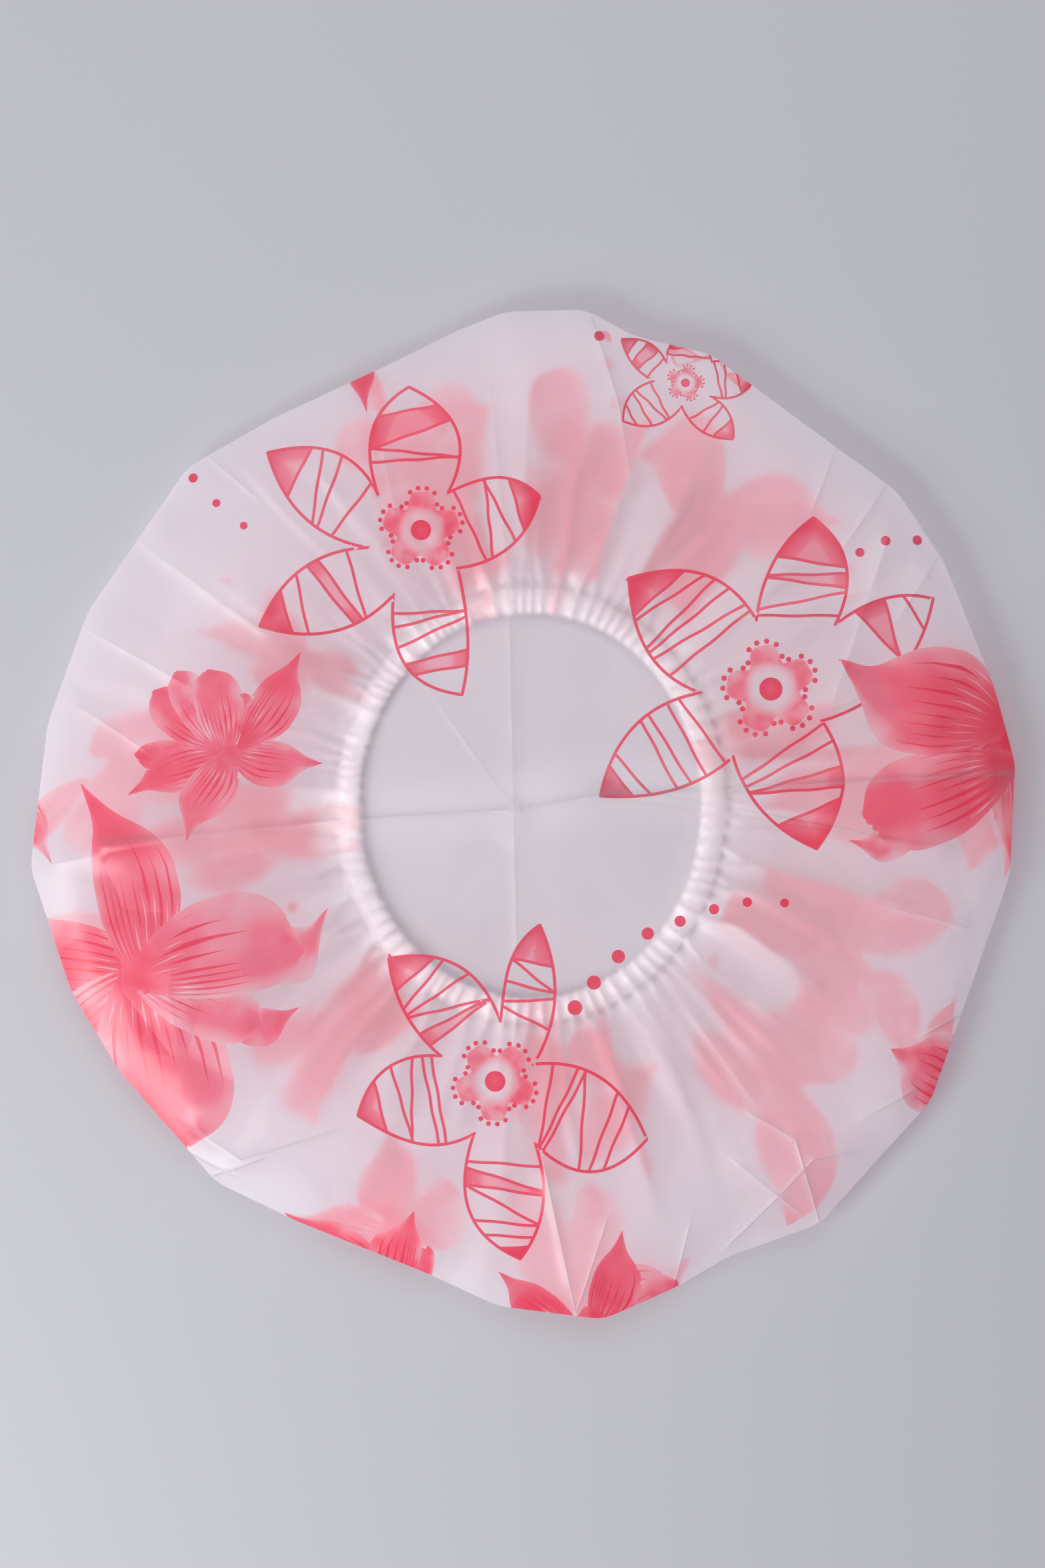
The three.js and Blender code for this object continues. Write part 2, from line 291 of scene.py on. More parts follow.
slide = (main_rise / main_fold_height) * main_slide + fine_slide
skirt_x -= np.sin(angle) * slide
skirt_y += np.cos(angle) * slide

# The hem, round the elastic from the upper lip to the lower one: across, height, and how far a pucker
# moves the film across and up, in millimetres
hem_path = np.array([
    (4.2, 1.97, 0, 1.2), (3.9, 2.3, 0, 0.9), (3.2, 3.1, 0, 0.5), (1.8, 3.7, 0, 0.6), (0, 3.9, 0, 0.6),
    (-1.6, 3.8, -0.1, 0.6), (-2.9, 2.9, -0.3, 0.4), (-3.3, 1.8, -0.35, 0.1), (-3.0, 0.7, -0.3, 0.1),
    (-2.4, 0.25, -0.1, 0.12), (-1.2, 0.2, 0, 0.14), (0, 0.2, 0, 0.14), (1.4, 0.2, 0, 0.14),
    (2.5, 0.35, 0, 0.2), (3.0, 0.9, 0, 0.5), (3.3, 1.55, 0, 1.2), (4.2, 1.55, 0, 1.2),
]) * MM
hem_part = np.clip((row - crown_rows - skirt_rows) / hem_rows, 0, 1)
along = np.linspace(0, 1, len(hem_path))
across, height, reach_across, reach_up = (np.interp(hem_part, along, column) for column in hem_path.T)
hem_x, hem_y = beside_ring(angle, across + reach_across * fine_wave)
hem_slide = -fine_fold_swing * np.sin(fine_phase)
hem_x -= np.sin(angle) * hem_slide
hem_y += np.cos(angle) * hem_slide
hem_z = height + reach_up * fine_wave

on_crown = row <= crown_rows
on_skirt = row <= crown_rows + skirt_rows
folded = np.stack([
    np.where(on_crown, crown, np.where(on_skirt, skirt, hem))
    for crown, skirt, hem in (
        (crown_x, skirt_x, hem_x), (crown_y, skirt_y, hem_y), (crown_z, skirt_z, hem_z)
    )
], axis=1)

# Where each point lies on the flat cut disc, which is also the film's UV map, from 0 to 1
hem_run = (cut_radius - seam_radius) * hem_part
flat_radius = np.where(on_crown, rim * crown_share, rim + (seam_radius - rim) * skirt_part + hem_run)
flat_map = np.stack([flat_radius * np.cos(angle), flat_radius * np.sin(angle)], axis=1)
flat_map = 0.5 + flat_map / (2 * cut_radius)
corner_map = flat_map[corner_vertices(film.data)]
film_map = film.data.uv_layers[0]
film_map.name = "OFBake"
film_map.uv.foreach_set("vector", corner_map.astype(np.float32).ravel())
film.data.vertices.foreach_set("co", folded.astype(np.float32).ravel())
film.data.update()

# The strip's ends meet, and its first row is one point in the middle of the crown
strip_join = 0.01 * MM
sharpest_smooth = math.radians(100)
bpy.ops.object.mode_set(mode="EDIT")
bpy.ops.mesh.select_all(action="SELECT")
bpy.ops.mesh.remove_doubles(threshold=strip_join)
bpy.ops.mesh.normals_make_consistent(inside=False)
bpy.ops.object.mode_set(mode="OBJECT")
bpy.ops.object.shade_smooth_by_angle(angle=sharpest_smooth)


class Wire:
    """A value in a material's nodes. Sums and products of wires add the Math nodes that work them out."""

    def __init__(self, tree, socket):
        self.tree = tree
        self.socket = socket

    def node(self, kind, settings, inputs, output=0):
        made = self.tree.nodes.new(kind)
        for name, value in settings.items():
            setattr(made, name, value)
        for name, value in inputs.items():
            if isinstance(value, Wire):
                self.tree.links.new(value.socket, made.inputs[name])
            else:
                made.inputs[name].default_value = value
        return Wire(self.tree, made.outputs[output])

    def math(self, operation, *others):
        return self.node("ShaderNodeMath", {"operation": operation}, dict(enumerate((self, *others))))

    def vector(self, operation, other, output=0):
        return self.node("ShaderNodeVectorMath", {"operation": operation}, {0: self, 1: other}, output)

    def __add__(self, other):
        return self.math("ADD", other)

    def __sub__(self, other):
        return self.math("SUBTRACT", other)

    def __rsub__(self, other):
        return self * -1 + other

    def __mul__(self, other):
        return self.math("MULTIPLY", other)

    def __truediv__(self, other):
        return self.math("DIVIDE", other)

    def __pow__(self, other):
        return self.math("POWER", other)

    def __rpow__(self, other):
        return self.node("ShaderNodeMath", {"operation": "POWER"}, {0: other, 1: self})

    def __abs__(self):
        return self.math("ABSOLUTE")

    __radd__ = __add__
    __rmul__ = __mul__

    def below(self, limit):
        return self.math("LESS_THAN", limit)

    def above(self, limit):
        return self.math("GREATER_THAN", limit)

    def at_most(self, limit):
        return self.math("MINIMUM", limit)

    def either(self, other):
        return self.math("MAXIMUM", other)

    def ramp(self, low, high):
        """0 at low, 1 at high and an even curve between, which falls where low is the larger."""
        inputs = {"Value": self, "From Min": low, "From Max": high}
        return self.node("ShaderNodeMapRange", {"interpolation_type": "SMOOTHSTEP"}, inputs)

    def stops(self, points, interpolation):
        """The colour of a ramp whose stops are a position, red, green and blue each."""
        made = self.tree.nodes.new("ShaderNodeValToRGB")
        made.color_ramp.interpolation = interpolation
        for index, (position, *colour) in enumerate(points):
            elements = made.color_ramp.elements
            element = elements[index] if index < 2 else elements.new(position)
            element.position = position
            element.color = (*colour, 1)
        self.tree.links.new(self.socket, made.inputs["Fac"])
        return Wire(self.tree, made.outputs["Color"])

    def reach(self):
        """The length of a vector."""
        return self.vector("LENGTH", (0, 0, 0), "Value")

    def parts(self, kind="XYZ"):
        """The three numbers of a vector, or of a colour where the kind is Color."""
        split = self.node("ShaderNodeSeparate" + kind, {}, {0: self}).socket.node
        return [Wire(self.tree, output) for output in split.outputs]

    def noise(self, scale, detail):
        """Even clouds over a place, from 0 to 1."""
        inputs = {"Vector": self, "Scale": scale, "Detail": detail}
        return self.node("ShaderNodeTexNoise", {}, inputs, "Fac")

    def colour(self, zero, one):
        """The colour zero where this is 0 and the colour one where it is 1."""
        settings = {"data_type": "RGBA", "clamp_factor": True}
        return self.node("ShaderNodeMix", settings, {"Factor": self, "A": zero, "B": one}, "Result")

    def bsdf(self, kind, inputs):
        return self.node("ShaderNodeBsdf" + kind, {}, inputs, "BSDF")

    def shader(self, zero, one):
        """The shader zero where this is 0 and the shader one where it is 1."""
        return self.node("ShaderNodeMixShader", {}, {0: self, 1: zero, 2: one}, "Shader")

    def finish(self, shader):
        """Links the shader to the material's output."""
        output = self.tree.nodes.new("ShaderNodeOutputMaterial")
        self.tree.links.new(shader.socket, output.inputs["Surface"])


def new_material(name):
    """An empty node material, and a first wire in it to build from."""
    material = bpy.data.materials.new(name)
    material.use_nodes = True
    material.node_tree.nodes.clear()
    return material, Wire(material.node_tree, None)


# The print: outlined flowers and filled blossoms on the flat film, each flower's middle in millimetres.
# A petal of an outlined flower has the direction in degrees and the distance in millimetres of its tip,
# and those of the notch after it. Then come the bulge of its side before the tip and of its side after
# it, in lengths of that side, each with how much nearer the tip the bulge is. Last are its bars, outwards:
# where a bar meets the side after and the side before the tip, in lengths of the petal, and how dark the
# petal is printed from that bar to the next.
outlined_flowers = [
    ((-29, 81), [
        (16, 35, 54, 13, 0.17, 0, 0.18, 0.5,
         [(0.34, 0.42, 0), (0.61, 0.52, 0), (0.6, 0.7, 0), (0.8, 0.8, 0.9)]),
        (95, 41, 140, 16, 0.26, -0.15, 0.2, 0.3,
         [(0.495, 0.485, 0), (0.585, 0.49, 0), (0.6, 0.735, 0.9), (0.81, 0.86, 0)]),
        (153, 49, 198, 16, 0.2, -0.3, 0.155, -0.15,
         [(0.445, 0.355, 0), (0.545, 0.61, 0), (0.58, 0.75, 0), (0.78, 0.785, 0.7)]),
        (211, 53, 247, 20, 0.16, -0.1, 0.157, -0.1,
         [(0.495, 0.36, 0), (0.515, 0.565, 0.75), (0.565, 0.635, 0), (0.83, 0.655, 0),
          (0.905, 0.775, 0.9)]),
        (284, 48, 314, 15, 0.245, 0.3, 0.06, 0.4,
         [(0.52, 0.52, 0), (0.545, 0.445, 0), (0.535, 0.63, 0), (0.75, 0.745, 0.7), (0.85, 0.815, 0)]),
    ]),
    ((70, 36), [
        (29, 53, 45, 26, 0.15, 0, 0.12, 0.3, [(0.565, 0.705, 0.9), (0.795, 0.675, 0), (0.85, 0.89, 0)]),
        (76, 50, 102, 20, 0.205, 0.2, 0.11, 0.2,
         [(0.365, 0.49, 0), (0.385, 0.62, 0), (0.6, 0.655, 0.75), (0.6, 0.735, 0), (0.73, 0.77, 0.9)]),
        (142, 51, 183, 20, 0.2, -0.25, 0.165, -0.35,
         [(0.48, 0.365, 0), (0.61, 0.415, 0), (0.655, 0.54, 0), (0.685, 0.625, 0), (0.86, 0.685, 0),
          (0.87, 0.775, 0.9)]),
        (212, 57, 241, 22, 0.165, -0.15, 0.105, -0.2,
         [(0.38, 0.415, 0), (0.505, 0.47, 0), (0.585, 0.58, 0), (0.665, 0.625, 0), (0.765, 0.845, 0),
          (0.845, 0.9, 0.7)]),
        (286, 47, 328, 17, 0.12, -0.1, 0.18, -0.15,
         [(0.285, 0.455, 0), (0.41, 0.515, 0), (0.565, 0.565, 0.7), (0.685, 0.58, 0), (0.745, 0.81, 0.9)]),
    ]),
    ((-8, -75), [
        (339, 46, 24, 12, 0.27, 0, 0.19, -0.2,
         [(0.29, 0.39, 0), (0.45, 0.405, 0), (0.5, 0.435, 0), (0.5, 0.655, 0), (0.73, 0.735, 0),
          (0.83, 0.815, 0)]),
        (74, 46, 85, 17, 0.13, -0.1, 0.12, 0.9,
         [(0.485, 0.39, 0), (0.43, 0.595, 0), (0.605, 0.62, 0), (0.81, 0.6, 0), (0.74, 0.785, 0.75)]),
        (131, 46, 155, 17, 0.215, 0, 0.1, 0,
         [(0.43, 0.405, 0.7), (0.545, 0.42, 0), (0.7, 0.435, 0), (0.675, 0.615, 0), (0.685, 0.77, 0),
          (0.82, 0.82, 0.8)]),
        (194, 40, 248, 16, 0.21, 0, 0.155, -0.6,
         [(0.435, 0.4, 0), (0.49, 0.465, 0), (0.67, 0.545, 0), (0.67, 0.69, 0), (0.835, 0.83, 0.7)]),
        (278, 51, 303, 21, 0.23, 0.25, 0.13, 0.2,
         [(0.515, 0.41, 0), (0.675, 0.44, 0.8), (0.685, 0.54, 0), (0.915, 0.54, 0), (0.86, 0.74, 0),
          (0.92, 0.825, 0), (0.95, 0.915, 0.9)]),
    ]),
    ((46, 123), [
        (5, 20, 40, 10, 0.2, 0, 0.15, 0, [(0.45, 0.5, 0), (0.6, 0.55, 0), (0.72, 0.8, 0.7)]),
        (85, 16, 132, 8, 0.1, 0, 0.16, 0, [(0.5, 0.5, 0), (0.62, 0.7, 0.8), (0.8, 0.75, 0)]),
        (145, 22, 177, 9, 0.2, 0, 0.12, 0,
         [(0.45, 0.4, 0), (0.62, 0.5, 0.8), (0.72, 0.7, 0), (0.82, 0.85, 0.8)]),
        (212, 21, 261, 7, 0.19, 0, 0.19, 0,
         [(0.45, 0.4, 0), (0.5, 0.62, 0), (0.7, 0.68, 0), (0.88, 0.85, 0)]),
        (310, 21, 332, 8, 0.17, 0, 0.17, 0, [(0.5, 0.42, 0), (0.55, 0.66, 0), (0.78, 0.8, 0.7)]),
    ]),
]
petal_count = 5

# The petals of the filled blossoms, each over the ones before it: its base, its tip, how wide it is on its
# left and on its right in its own lengths, how far it bows to its left, and 0 for a tailed petal, 1 for a
# blunt one and 2 for a tail without streaks
blossom_petals = [
    (-150, 12, -134, -13.5, 0.2, 0.16, 0, 0),
    (-150, 20, -164, 46, 0.25, 0.25, 0, 0),
    (-50, 141, -44.5, 114.5, 0.17, 0.13, 0, 0),
    (-103, -45, -151, -41, 0.28, 0.27, 0, 1),
    (-103, -42, -140, -74, 0.24, 0.22, 0, 1),
    (-109, -39, -97, -95, 0.33, 0.35, 0, 1),
    (-87, -59, -63.5, -54, 0.14, 0.32, -0.06, 2),
    (-113, -44, -74, -59, 0.22, 0.23, 0, 1),
    (-106, -50, -125.5, 9, 0.13, 0.26, -0.05, 0),
    (-86, -40, -55.5, -26, 0.17, 0.36, -0.16, 2),
    (-113, -47.5, -62, -38, 0.38, 0.17, 0, 1),
    (-83, 19, -110, 17.5, 0.2, 0.13, 0, 1),
    (-82, 18.5, -112, 6, 0.19, 0.2, -0.04, 0),
    (-84, 18, -78, 35, 0.2, 0.16, 0, 1),
    (-84, 19, -105, 35.5, 0.27, 0.19, 0, 1),
    (-84, 18, -98.5, 41, 0.22, 0.2, 0, 1),
    (-84, 17, -89.5, 41.5, 0.23, 0.32, 0, 1),
    (-83.5, 19, -95, -7, 0.31, 0.19, -0.09, 0),
    (-84.5, 19, -57, 15, 0.16, 0.32, 0, 0),
    (-81, 19.5, -63, 46.5, 0.14, 0.28, 0, 0),
    (137.8, 24, 139.6, -18, 0.18, 0.1, 0, 0),
    (140.5, 26.2, 102, 7, 0.27, 0.13, 0, 1),
    (114, -4, 92, -6.8, 0.26, 0.22, 0.1, 2),
    (140.7, 15.7, 96, 0, 0.31, 0.25, 0, 1),
    (139, 24.5, 89.3, 44.5, 0.26, 0.34, 0.1, 0),
    (136, 20, 172, 34, 0.3, 0.3, 0, 1),
    (126, -74, 129, -54, 0.2, 0.12, 0, 0),
    (128, -80, 104.3, -66, 0.42, 0.46, 0, 0),
    (128, -80, 150, -66, 0.35, 0.35, 0, 1),
    (-38, -134, -68, -113, 0.25, 0.2, 0, 0),
    (-30, -138, -27, -122, 0.2, 0.16, 0, 1),
    (-36, -136, -31, -112, 0.42, 0.18, 0, 0),
    (24, -146, 44, -132.5, 0.25, 0.25, 0, 1),
    (20, -147, 28, -117.5, 0.15, 0.32, 0, 0),
    (16, -146, -7, -129.3, 0.3, 0.13, 0, 0),
]

# The same blossoms where the film is turned under: middle, reach and the direction of the first petal.
# Every other petal is shorter, and only those that reach past the rim are drawn.
hidden_blossoms = [
    (-54, 178, 42, 54), (-50, 158, 36, 10), (-44, 150, 34, 28), (-155, 17, 36, 42), (95, 146, 46, 10),
    (30, 190, 42, 12), (-196, -20, 38, 10), (-131, -146, 42, 15), (122, -122, 44, 35), (-52, 206, 30, 0),
    (203, 55, 33, 30), (12, -206, 36, 12), (161, -66, 46, 238), (-44, -132, 36, 226), (15, -146, 38, 231),
    (140, 24, 44, 282), (-112, -48, 46, 188), (60, -186, 30, 20), (176, 12, 34, 60), (-165, 102, 30, 20),
]
hidden_petal_form = (0.33, 0.29, 0.05)
shorter_by = 0.12
visible_reach = 142
for x, y, reach, first_direction in hidden_blossoms:
    for step in range(petal_count):
        direction = math.radians(first_direction + 360 / petal_count * step)
        length = reach * (1 - shorter_by * (step % 2))
        tip = (x + length * math.cos(direction), y + length * math.sin(direction))
        if math.hypot(*tip) > visible_reach:
            blossom_petals.insert(0, (x, y, *tip, *hidden_petal_form, step % 2))

# The dots: x, y and radius in millimetres
print_dots = [
    (73.9, -24.5, 1.25), (63.4, -24.3, 1.35), (54, -26.3, 1.45), (44.4, -29.7, 1.6), (35.2, -33.2, 1.75),
    (26.9, -39.7, 1.9), (20, -47.1, 2), (14.6, -54.2, 2.1), (-94, 96.2, 1.35), (-87.1, 88.8, 1.15),
    (-79.2, 82.3, 1.1), (95.3, 74.7, 1.3), (102.7, 78.1, 1.4), (112.1, 78.5, 1.4), (21.6, 136.4, 1.5),
    (25.2, 144.8, 1.3), (28.2, 151, 1.3), (36, 157, 1.4), (43, 176, 1.5), (-131, 100, 1.4), (-140, 92, 1.3),
    (-185, -78, 1.6), (-176, -84, 1.8), (131, 97, 1.3), (139, 90, 1.2), (-92, -178, 1.4), (-82, -184, 1.5),
    (60, -180, 1.6), (71, -178, 1.7), (82, -178, 1.8), (160, -130, 1.5), (168, -122, 1.6), (178, -112, 1.7),
]

# How wide a blossom petal is along its length, tailed and blunt, in its greatest widths, and how it bows
petal_outlines = [
    (0, 0.16, 0.14, 0), (0.1, 0.45, 0.38, 0.03), (0.2, 0.72, 0.62, 0.1), (0.3, 0.92, 0.8, 0.24),
    (0.4, 1.02, 0.92, 0.45), (0.52, 1.02, 1, 0.75), (0.64, 0.9, 1.02, 1), (0.73, 0.62, 1, 1.02),
    (0.8, 0.36, 0.93, 0.84), (0.87, 0.2, 0.82, 0.55), (0.94, 0.1, 0.6, 0.22), (1, -0.05, -0.05, 0),
]

# The bars are listed where they meet sides this far apart, in lengths of the petal. Beyond the ends of a
# side the petal's depth falls by end_fall for each length of the side.
side_to_side, end_fall = 0.5, 2


def turned_to(right, up, degrees, size):
    """Places along and across a direction, in a flower's or a petal's own size."""
    direction = math.radians(degrees)
    along = (right * math.cos(direction) + up * math.sin(direction)) / size
    return along, (up * math.cos(direction) - right * math.sin(direction)) / size


def bar_distances(right, up, petal):
    """Signed distance of each place from each bar of a petal, outwards, with the place along and across
    the petal in its own lengths."""
    along, across = turned_to(right, up, petal[0], petal[1])
    gaps = []
    for after, before, _ in petal[8]:
        slope = (after - before) / side_to_side
        gap = along - (after + before) / 2 - slope * across
        gaps.append(gap * petal[1] / math.hypot(1, slope))
    return np.stack(gaps, axis=1), along, across


def side_place_of(right, up, petals, half):
    """Place along one side of an outlined petal, from its notch to its tip, and out from its chord, in
    lengths of that side, then that length and how deep in the petal the place is. The sides are numbered
    from the one after the first tip."""
    petal = petals[(half + 1) // 2 % petal_count]
    notch = petals[half // 2]
    after = half % 2 == 0
    tip_x, tip_y = (petal[1] * part(math.radians(petal[0])) for part in (math.cos, math.sin))
    notch_x, notch_y = (notch[3] * part(math.radians(notch[2])) for part in (math.cos, math.sin))
    along, out, length = beside_line(right, up, (notch_x, notch_y, tip_x, tip_y))
    along = along / length**2
    out = out / length**2 * (1 if after else -1)
    bulge, lean = petal[6:8] if after else petal[4:6]
    clipped = np.clip(along, 0, 1)
    hump = bulge * 4 * clipped * (1 - clipped) * (1 + lean * (clipped - 0.5))
    return along, out, length, (hump - out - end_fall * abs(along - clipped)) * length


# far_off stands for a place on no small flower, dot or crease. A face takes what lies within a margin of
# its middle, and a petal fills a face that lies petal_fills inside it, in millimetres.
far_off = 9.0
flower_margin = 2
dot_margin = 2.5
petal_margin = 1.4
petal_fills = 0.5

# The small flower's size, in mean reaches of the petals round it
small_flower_size = 0.265

# What a tailed petal, a blunt one and a tail without streaks add to their number
kind_codes = (0, 0.5, 0.25)


def outlined_places(points, middles):
    """What the print of the outlined flowers needs at each corner of the film's faces. The side of a petal
    and the bars that a face takes are those nearest to its middle, so that every line stays sharp."""
    side_place, side_form, bar_place, next_bar = (np.zeros((len(points), 3)) for _ in range(4))
    middle_place = np.full((len(points), 3), far_off)
    taken = np.ones(len(points))
    for (x, y), petals in outlined_flowers:
        longest = max(petal[1] for petal in petals) + flower_margin
        right, up = middles[:, 0] - x, middles[:, 1] - y
        share = np.hypot(right, up) / longest
        on_flower = share < taken
        taken[on_flower] = share[on_flower]
        depths = np.stack([side_place_of(right, up, petals, half)[3] for half in range(2 * petal_count)])
        petal_index = np.argmax(np.minimum(depths, np.roll(depths, 1, axis=0))[::2], axis=0)
        faces = np.arange(len(right))
        before_nearer = depths[petal_index * 2 - 1, faces] < depths[petal_index * 2, faces]
        half_petal = (petal_index * 2 - before_nearer) % (2 * petal_count)
        size = small_flower_size * sum(petal[1] for petal in petals) / petal_count
        for half in range(2 * petal_count):
            here = on_flower & (half_petal == half)
            petal = petals[(half + 1) // 2 % petal_count]
            own = points[here] - (x, y)
            along_side, out, length, _ = side_place_of(own[:, 0], own[:, 1], petals, half)
            bulge, lean = petal[6:8] if half % 2 == 0 else petal[4:6]
            side_place[here] = np.stack([along_side, out, np.full(len(out), length)], axis=1)
            side_form[here] = (bulge, lean, 1)
            gaps, _, _ = bar_distances(right[here], up[here], petal)
            nearest, second = np.argsort(abs(gaps), axis=1).T[:2]
            rows = np.arange(len(gaps))
            inner = (gaps > 0).sum(axis=1) - (gaps[rows, nearest] > 0)
            darkness = np.array([0] + [bar[2] for bar in petal[8]])
            gaps, along, across = bar_distances(own[:, 0], own[:, 1], petal)
            bar_place[here] = np.stack([gaps[rows, nearest], darkness[inner], darkness[inner + 1]], axis=1)
            next_bar[here] = np.stack([gaps[rows, second], along, across], axis=1)
        own = points[on_flower] - (x, y)
        along, across = turned_to(own[:, 0], own[:, 1], petals[0][0], size)
        middle_place[on_flower] = np.stack([along, across, np.zeros(len(along))], axis=1)
    return side_place, side_form, bar_place, next_bar, middle_place


def place_in_petal(places, petal):
    """Places along and across a blossom petal, in its own lengths, and that length in millimetres."""
    along, across, length = beside_line(places[:, 0], places[:, 1], petal[:4])
    return along / length**2, across / length**2, length


def depth_in_petal(places, petal):
    """How deep inside a blossom petal each place is, in millimetres, and less than 0 outside."""
    left, right, bow, kind = petal[4:]
    shape_at, *shapes = np.array(petal_outlines).T
    along, across, length = place_in_petal(places, petal)
    aside = across - bow * np.interp(along, shape_at, shapes[2])
    half = np.interp(along, shape_at, shapes[kind % 2]) * np.where(aside > 0, left, right)
    return np.minimum(half - abs(aside), np.minimum(along, 1 - along)) * length


def blossom_places(points, middles, first_corners, corner_counts):
    """Place along and across the blossom petal on top at each corner of the film's faces, and for the one
    below it, each with the petal's number and form. A face crossed by the edges of two petals keeps the
    petal below that fills it, so that no bare film shows where petals meet."""
    top_place, top_form, low_place, low_form = (np.zeros((len(points), 3)) for _ in range(4))
    top_holds, top_fills, low_fills = (np.zeros(len(points), dtype=bool) for _ in range(3))
    for number, petal in enumerate(blossom_petals, start=1):
        depth = depth_in_petal(middles, petal)
        shallowest = np.minimum.reduceat(depth_in_petal(points, petal), first_corners)
        fills = np.repeat(shallowest > petal_fills, corner_counts)
        kept = top_holds & ~top_fills & (depth < 0)
        here = (fills | (depth > -petal_margin)) & ~kept
        lowered = here & (top_fills | top_holds & ~low_fills)
        low_place[lowered] = top_place[lowered]
        low_form[lowered] = top_form[lowered]
        low_fills[lowered] = top_fills[lowered]
        top_holds[here] = depth[here] > 0
        top_fills[here] = fills[here]
        code = number + kind_codes[petal[7]]
        along, across, _ = place_in_petal(points[here], petal)
        top_place[here] = np.stack([along, across, np.full(here.sum(), code)], axis=1)
        top_form[here] = petal[4:7]
    return top_place, top_form, low_place, low_form


# Each corner of the film's faces on the flat disc in millimetres, and the middle of its face
corner_map = np.empty(len(film.data.loops) * 2, dtype=np.float32)
film.data.uv_layers["OFBake"].uv.foreach_get("vector", corner_map)
corners_flat = (corner_map.reshape(-1, 2).astype(float) - 0.5) * 2 * cut_radius / MM
corner_counts = np.empty(len(film.data.polygons), dtype=np.int32)
film.data.polygons.foreach_get("loop_total", corner_counts)
first_corners = np.cumsum(corner_counts) - corner_counts


def face_middles(corners):
    """The middle of the face that each corner belongs to."""
    middles = np.add.reduceat(corners, first_corners, axis=0) / corner_counts[:, None]
    return np.repeat(middles, corner_counts, axis=0)


middles_flat = face_middles(corners_flat)
outlined_names = ("side_place", "side_form", "bar_place", "next_bar", "middle_place")
blossom_names = ("top_place", "top_form", "low_place", "low_form")
film_print = dict(zip(outlined_names, outlined_places(corners_flat, middles_flat)))
blossom_corners = blossom_places(corners_flat, middles_flat, first_corners, corner_counts)
film_print.update(zip(blossom_names, blossom_corners))
dot_place = np.full((len(corners_flat), 3), far_off)
for x, y, radius in print_dots:
    here = np.hypot(*(middles_flat - (x, y)).T) < radius + dot_margin
    dot_place[here, :2] = (corners_flat[here] - (x, y)) / radius
    dot_place[here, 2] = 0
film_print["dot_place"] = dot_place

# Place across the nearest crease, in half widths of its pale line, and how strong are that line and the
# painted shade beside it, a dark line for the crease's shaded side that only the creases listed higher than
# 1 mm have
corners_object = places_of(film.data)[corner_vertices(film.data)]
middles_object = face_middles(corners_object)
under_starts, under_full = 143 * MM, 152 * MM
crease_reach, crease_fade = 9 * MM, 3 * MM
painted_shade_from, painted_shade_of_rise = 1, 0.24
on_top = np.hypot(*middles_flat.T) * MM < under_starts
crease_place = np.full((len(corners_flat), 3), far_off)
crease_place[:, 1:] = 0
nearest = np.full(len(corners_flat), crease_reach)
for crease in crease_lines:
    white, pale_width = crease[6:8]
    away = np.hypot(*beside_crease(*middles_object.T[:2], crease))
    here = (away < nearest) & on_top
    nearest[here] = away[here]
    across, past_end = beside_crease(*corners_object[here].T[:2], crease)
    crease_place[here, 0] = across / (pale_width * MM)
    fading = np.exp(-past_end / crease_fade)
    crease_place[here, 1] = white * fading
    crease_place[here, 2] = painted_shade_of_rise * max(crease[4] - painted_shade_from, 0) * fading
film_print["crease_place"] = crease_place

# The film carries all of these at the corners of its faces, where its material reads them by name
for place_name, values in film_print.items():
    carried = film.data.attributes.new(place_name, "FLOAT_VECTOR", "CORNER")
    carried.data.foreach_set("vector", values.astype(np.float32).ravel())


def petal_places(place):
    """Distance from the small flower's middle, and the place along and across its nearest petal."""
    east, north, _ = place.parts()
    radius = place.vector("MULTIPLY", (1, 1, 0)).reach()
    sector = north.math("ARCTAN2", east) * (petal_count / TURN)
    petal = (sector + 0.5).math("FLOOR")
    turned = (sector - petal) * (TURN / petal_count)
    return radius, radius * turned.math("COSINE"), radius * turned.math("SINE")


def chances(seed):
    """Three numbers from 0 to 1 that the seed alone decides."""
    made = seed.node("ShaderNodeTexWhiteNoise", {"noise_dimensions": "1D"}, {"W": seed}, "Color")
    return made.parts("Color")


# Half the width of a printed line in millimetres: line_base and line_share of the side's length, up to
# widest_line. A bar is a little finer and wavers, and bars begin at bars_start of the petal.
line_base, line_share, widest_line = 0.2, 0.0085, 0.44
bar_line, bar_waver, bars_start = 0.95, 0.12, 0.27
# The small flower's outline in its own size, its line of beads and its eye
lobe_reach, lobe_wave, notch_wave = 0.85, 0.16, 0.05
beads, bead_reach, bead_radius = 6, 0.88, 0.056
eye_radius = 0.24


